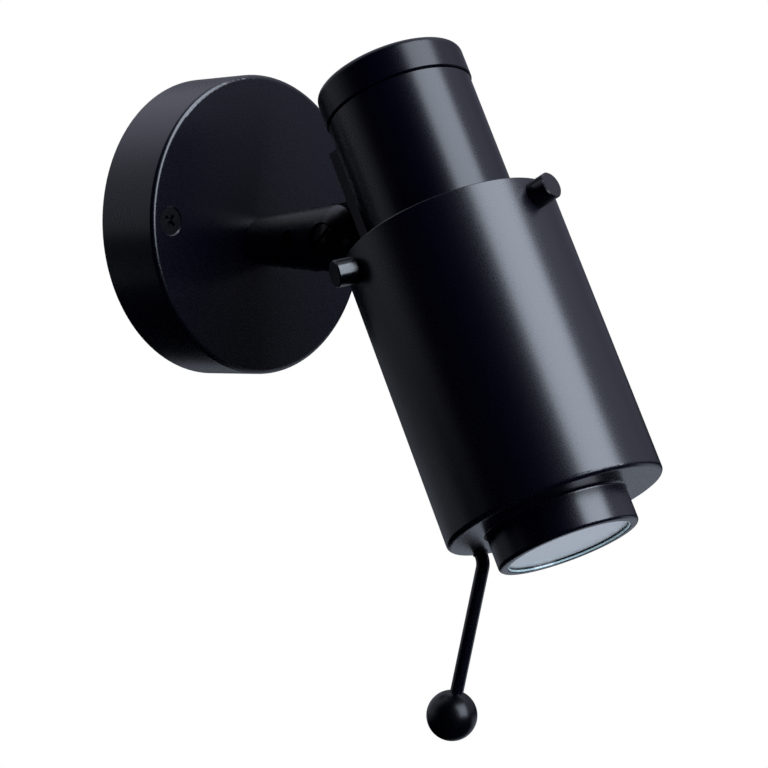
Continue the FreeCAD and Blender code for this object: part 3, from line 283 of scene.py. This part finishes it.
def white_plastic():
    return moulded("white_plastic", (0.78, 0.78, 0.76), (0.84, 0.84, 0.82), low=0.40, high=0.50)


def glazed_ceramic():
    return moulded("glazed_ceramic", (0.82, 0.80, 0.76), (0.88, 0.86, 0.82), low=0.15, high=0.25)


def black_rubber():
    return moulded("black_rubber", (0.02, 0.02, 0.02), (0.03, 0.03, 0.03), low=0.65, high=0.75)


def lamp_metal():
    """The lamp's bright reflector, slightly hazy."""
    recipe = Recipe("lamp_reflector", {"Metallic": 1.0})
    haze = recipe.noise(scale=300.0, detail=2.0, roughness=0.5)
    recipe.colour(haze, dark=(0.78, 0.79, 0.80), light=(0.88, 0.89, 0.90))
    recipe.roughness(haze, low=0.18, high=0.28)
    return recipe.material


def frosted_cover():
    """The lamp's pale frosted front."""
    recipe = Recipe("frosted_lamp_cover")
    speck = recipe.noise(scale=1400.0, detail=3.0, roughness=0.5)
    recipe.colour(speck, dark=(0.74, 0.76, 0.77), light=(0.84, 0.85, 0.86))
    recipe.roughness(speck, low=0.32, high=0.42)
    recipe.bump(speck, depth=0.00003, strength=0.15)
    return recipe.material


def frosted_lens():
    """Frosted glass, pale and even, with a smooth outer skin."""
    skin = {"IOR": 1.5, "Coat Weight": 0.6, "Coat Roughness": 0.06}
    recipe = Recipe("frosted_lens_glass", skin)
    speck = recipe.noise(scale=1600.0, detail=3.0, roughness=0.5)
    recipe.colour(speck, dark=(0.60, 0.62, 0.62), light=(0.66, 0.68, 0.68))
    recipe.roughness(speck, low=0.40, high=0.50)
    recipe.bump(speck, depth=0.00002, strength=0.1)
    return recipe.material


def lens_edge():
    """The glass at the rim, slightly green, with a painted highlight for the light seen through
    its thickness.
    """
    skin = {"IOR": 1.5, "Coat Weight": 1.0, "Coat Roughness": 0.04}
    recipe = Recipe("lens_edge_painted_highlight", skin)
    uneven_painted_light = recipe.noise(scale=220.0, detail=2.0, roughness=0.5)
    recipe.colour(uneven_painted_light, dark=(0.52, 0.72, 0.74), light=(0.66, 0.84, 0.85))
    recipe.roughness(uneven_painted_light, low=0.10, high=0.18)
    return recipe.material


def lens_shade_line():
    """Painted shade: a dark line between the frosting and the rim of the glass."""
    recipe = Recipe("lens_painted_shade_line", {"IOR": 1.5})
    # uneven darkness of the painted shade line
    uneven_painted_light = recipe.noise(scale=220.0, detail=2.0, roughness=0.5)
    recipe.colour(uneven_painted_light, dark=(0.010, 0.013, 0.014), light=(0.030, 0.036, 0.038))
    recipe.roughness(uneven_painted_light, low=0.2, high=0.3)
    return recipe.material


def dress_all():
    dress(satin_paint("satin_black_paint", ior=1.7), "wall_canopy", "shade", "aim_rod")
    tube_paint = satin_paint("satin_black_tube_paint", ior=1.56)
    dress(tube_paint, "pivot_lug", "mounting_bar", "inner_tube")
    dress(satin_paint("satin_black_duller_paint", ior=1.47), "fork_arm", "end_cap")
    dress(gloss_paint(), "shade_pins", "arm_lock_screw", "pivot_screw")
    dress(ball_paint(), "aim_ball")
    dress(blackened_steel(), "canopy_screws")
    zinc = zinc_plate()
    dress(zinc, "mounting_bracket", "bracket_nuts", "tube_washer", "tube_nut")
    dress(zinc, "earth_screw", "earth_washer", "block_screw")
    dress(zinc, "pivot_nut", "pivot_washers", "lug_screws", "pin_posts")
    dress(zinc, "holder_plate", "plate_screws", "holder_screws", "lens_ring")
    dress(turned_brass(), "threaded_tube", "terminal_screws", "lamp_pins")
    dress(white_plastic(), "terminal_block")
    dress(glazed_ceramic(), "lamp_holder")
    dress(black_rubber(), "wire_bush")
    dress(lamp_metal(), "lamp_body")
    dress(frosted_cover(), "lamp_cover")


# ---- the lens --------------------------------------------------------------------------
def measure_disc():
    """The CAD lens's middle, the way it faces, half its thickness and its radius."""
    low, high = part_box("lens_glass")
    middle = (low + high) / 2
    middle.x = 0.0               # the head's axis lies in the plane x = 0
    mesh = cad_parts["lens_glass"].data
    facing = max(mesh.polygons, key=lambda polygon: polygon.area).normal.copy()
    if facing.z > 0:             # that was the back face, because the lens faces down
        facing.negate()
    spots = [vertex.co - middle for vertex in mesh.vertices]
    half = max(spot.dot(facing) for spot in spots)
    radius = max((spot - facing * spot.dot(facing)).length for spot in spots)
    return middle, facing, half, radius


def add_ring(grid, middle, facing, radius, height):
    """A ring of vertices round the facing direction, this high above the middle."""
    side = Vector((1.0, 0.0, 0.0))
    outward = facing.cross(side)
    ring = []
    for step in range(LENS_ROUNDS):
        turn = 2 * math.pi * step / LENS_ROUNDS
        spoke = side * math.cos(turn) + outward * math.sin(turn)
        ring.append(grid.verts.new(middle + facing * height + spoke * radius))
    return ring


def add_lens():
    """The lens as one turned body: frosted face, a ring of painted shade, a rim with a painted
    highlight, step and flange.
    """
    frost, line, rim = 0, 1, 2   # places in the lens's own list of materials; line carries painted shade, rim a painted highlight
    middle, facing, front, flange_radius = measure_disc()
    top = front + LENS_RIM_HEIGHT
    bevel_across, bevel_down = LENS_INNER_BEVEL
    wall_end = LENS_FROST_RADIUS + LENS_RIM_DRAFT
    profile = [                  # radius, height above the middle, and the finish up to there
        (LENS_FROST_RADIUS, front + LENS_FROST_HEIGHT, frost),
        (LENS_FROST_RADIUS + LENS_SHADE_LINE_DRAFT, front + LENS_SHADE_LINE_HEIGHT, line),
        (wall_end, top - bevel_down, rim),
        (wall_end + bevel_across, top, rim),
        (LENS_STEP_RADIUS - LENS_OUTER_BEVEL, top, rim),
        (LENS_STEP_RADIUS, top - LENS_OUTER_BEVEL, rim),
        (LENS_STEP_RADIUS, front, rim),
        (flange_radius, front, rim),
        (flange_radius, -front, rim)]
    grid = bmesh.new()
    rings = [add_ring(grid, middle, facing, radius, height) for radius, height, _ in profile]
    for low, high, (_, _, finish) in zip(rings, rings[1:], profile[1:]):
        for step in range(LENS_ROUNDS):
            after = (step + 1) % LENS_ROUNDS
            face = grid.faces.new((low[step], low[after], high[after], high[step]))
            face.material_index = finish
            face.smooth = True
    for ring, (_, height, _) in ((rings[0], profile[0]), (rings[-1], profile[-1])):
        centre = grid.verts.new(middle + facing * height)
        for step in range(LENS_ROUNDS):
            face = grid.faces.new((ring[step], ring[(step + 1) % LENS_ROUNDS], centre))
            face.material_index = frost
    bmesh.ops.recalc_face_normals(grid, faces=grid.faces)
    mesh = bpy.data.meshes.new("lens_disc")
    grid.to_mesh(mesh)
    grid.free()
    mesh.set_sharp_from_angle(angle=math.radians(LENS_SHARP_ANGLE))
    lens = bpy.data.objects.new("lens_disc", mesh)
    bpy.context.scene.collection.objects.link(lens)
    for material in (frosted_lens(), lens_shade_line(), lens_edge()):
        mesh.materials.append(material)
    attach(lens, "head")
    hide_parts("lens_glass")


# ---- camera, floor, surroundings and light ---------------------------------------------
def heading(azimuth, elevation):
    """The way from the object to a camera or a soft box that stands at these angles."""
    across = math.radians(azimuth)
    rise = math.radians(elevation)
    level = Vector((math.sin(across), -math.cos(across), 0.0))
    return level * math.cos(rise) + Vector((0.0, 0.0, math.sin(rise)))


def view_axes():
    """The photograph's right, up and backward directions."""
    azimuth = math.radians(VIEW_AZIMUTH)
    back = heading(VIEW_AZIMUTH, VIEW_ELEVATION)
    right = Vector((math.cos(azimuth), math.sin(azimuth), 0.0))
    return right, back.cross(right), back


def add_camera():
    right, up, back = view_axes()
    target = VIEW_ANCHOR + right * VIEW_SHIFT_RIGHT + up * VIEW_SHIFT_UP
    roll = math.radians(VIEW_ROLL)
    side = right * math.cos(roll) + up * math.sin(roll)
    top = up * math.cos(roll) - right * math.sin(roll)
    data = bpy.data.cameras.new("photo_camera")
    data.sensor_width = SENSOR_WIDTH
    data.sensor_fit = "HORIZONTAL"
    data.lens = PHOTO_FOCAL * SENSOR_WIDTH / PHOTO_SIZE
    data.clip_start, data.clip_end = VIEW_RANGE
    camera = bpy.data.objects.new("photo_camera", data)
    bpy.context.scene.collection.objects.link(camera)
    turn = Matrix((side, top, back)).transposed().to_4x4()
    camera.matrix_world = Matrix.Translation(target + back * VIEW_DISTANCE) @ turn
    bpy.context.scene.camera = camera


def pale_floor():
    """Looks plain white to the camera and pale grey to other light. In reflections it carries a
    painted shadow:
    dark below the wall plate and in front, and pale behind, as the object's undersides show."""
    material = bpy.data.materials.new("pale_floor")
    material.use_nodes = True
    graph = Graph(material.node_tree)
    _, _, back = view_axes()
    place = graph.add("ShaderNodeTexCoord").outputs["Object"]
    beyond = graph.ramp(graph.measure("DISTANCE", place, FLOOR_SHADOW_MIDDLE), *FLOOR_SHADOW_FADE)
    behind = graph.ramp(graph.measure("DOT_PRODUCT", place, -back), *FLOOR_SHADOW_BACK)
    # painted shadow on the floor, seen only in reflections
    shadowed_tone = graph.blend(graph.combine("MULTIPLY", beyond, behind), FLOOR_PAINTED_SHADOW, FLOOR_PALE)
    mirrored = graph.add("ShaderNodeBsdfDiffuse", {"Color": shadowed_tone}).outputs["BSDF"]
    grey = graph.add("ShaderNodeBsdfDiffuse", {"Color": (*FLOOR_GREY, 1.0)}).outputs["BSDF"]
    white = graph.add("ShaderNodeEmission").outputs["Emission"]
    ray = graph.add("ShaderNodeLightPath").outputs
    unseen = graph.choose(ray["Is Glossy Ray"], grey, mirrored)
    surface = graph.choose(ray["Is Camera Ray"], unseen, white)
    graph.add("ShaderNodeOutputMaterial", {"Surface": surface})
    return material


def add_floor():
    half = FLOOR_SIZE / 2
    corners = [(x * half, y * half, FLOOR_HEIGHT) for x, y in ((-1, -1), (1, -1), (1, 1), (-1, 1))]
    mesh = bpy.data.meshes.new("floor")
    mesh.from_pydata(corners, [], [(0, 1, 2, 3)])
    mesh.materials.append(pale_floor())
    floor = bpy.data.objects.new("floor", mesh)
    bpy.context.scene.collection.objects.link(floor)


def backdrop_strength(graph):
    """How bright the backdrop is in each direction."""
    right, _, back = view_axes()
    direction = graph.add("ShaderNodeTexCoord").outputs["Generated"]
    away = graph.measure("DOT_PRODUCT", direction, -back)
    leftward = graph.measure("DOT_PRODUCT", direction, -right)
    rise = graph.add("ShaderNodeSeparateXYZ", {"Vector": direction}).outputs["Z"]
    from_right = graph.combine(
        "MULTIPLY",
        graph.ramp(rise, *BACKDROP_RIGHT, 0.0, BACKDROP_LEVEL),
        graph.ramp(away, *BACKDROP_WANE, 1.0, BACKDROP_WANED))
    from_left = graph.combine(
        "MULTIPLY",
        graph.ramp(leftward, *BACKDROP_TURN),
        graph.ramp(rise, *BACKDROP_LEFT, 0.0, BACKDROP_LEVEL))
    level = graph.combine("MAXIMUM", from_right, from_left)
    above = graph.ramp(rise, *BACKDROP_RISE, 0.0, BACKDROP_TOP)
    behind = graph.ramp(away, *BACKDROP_EDGE)
    return graph.combine("MULTIPLY", behind, graph.combine("ADD", level, above))


def add_world():
    """White to the camera. In reflections a pale backdrop stands behind the object, brighter
    above than level with it, and it reaches lower on the left than on the right. The side
    that the camera is on is dark."""
    world = bpy.data.worlds.new("studio")
    bpy.context.scene.world = world
    world.use_nodes = True
    graph = Graph(world.node_tree)

    def background(colour, strength):
        inputs = {"Color": (*colour, 1.0), "Strength": strength}
        return graph.add("ShaderNodeBackground", inputs).outputs["Background"]

    ray = graph.add("ShaderNodeLightPath").outputs
    ambient = background(SOFTBOX_TINT, AMBIENT_LEVEL)
    mirrored = background(BACKDROP_TINT, backdrop_strength(graph))
    unseen = graph.choose(ray["Is Glossy Ray"], ambient, mirrored)
    white = background((1.0, 1.0, 1.0), 1.0)
    surface = graph.choose(ray["Is Camera Ray"], unseen, white)
    graph.add("ShaderNodeOutputWorld", {"Surface": surface})


def add_softbox():
    way = heading(SOFTBOX_AZIMUTH, SOFTBOX_ELEVATION)
    data = bpy.data.lights.new("key_softbox", "AREA")
    data.shape = "RECTANGLE"
    data.size, data.size_y = SOFTBOX_SIZE
    data.energy = SOFTBOX_POWER
    data.color = SOFTBOX_TINT
    softbox = bpy.data.objects.new("key_softbox", data)
    bpy.context.scene.collection.objects.link(softbox)
    softbox.location = SOFTBOX_AIM + way * SOFTBOX_DISTANCE
    softbox.rotation_euler = (-way).to_track_quat("-Z", "Y").to_euler()


dress_all()
add_lens()
add_camera()
add_floor()
add_world()
add_softbox()
bpy.context.scene.view_settings.view_transform = "Standard"
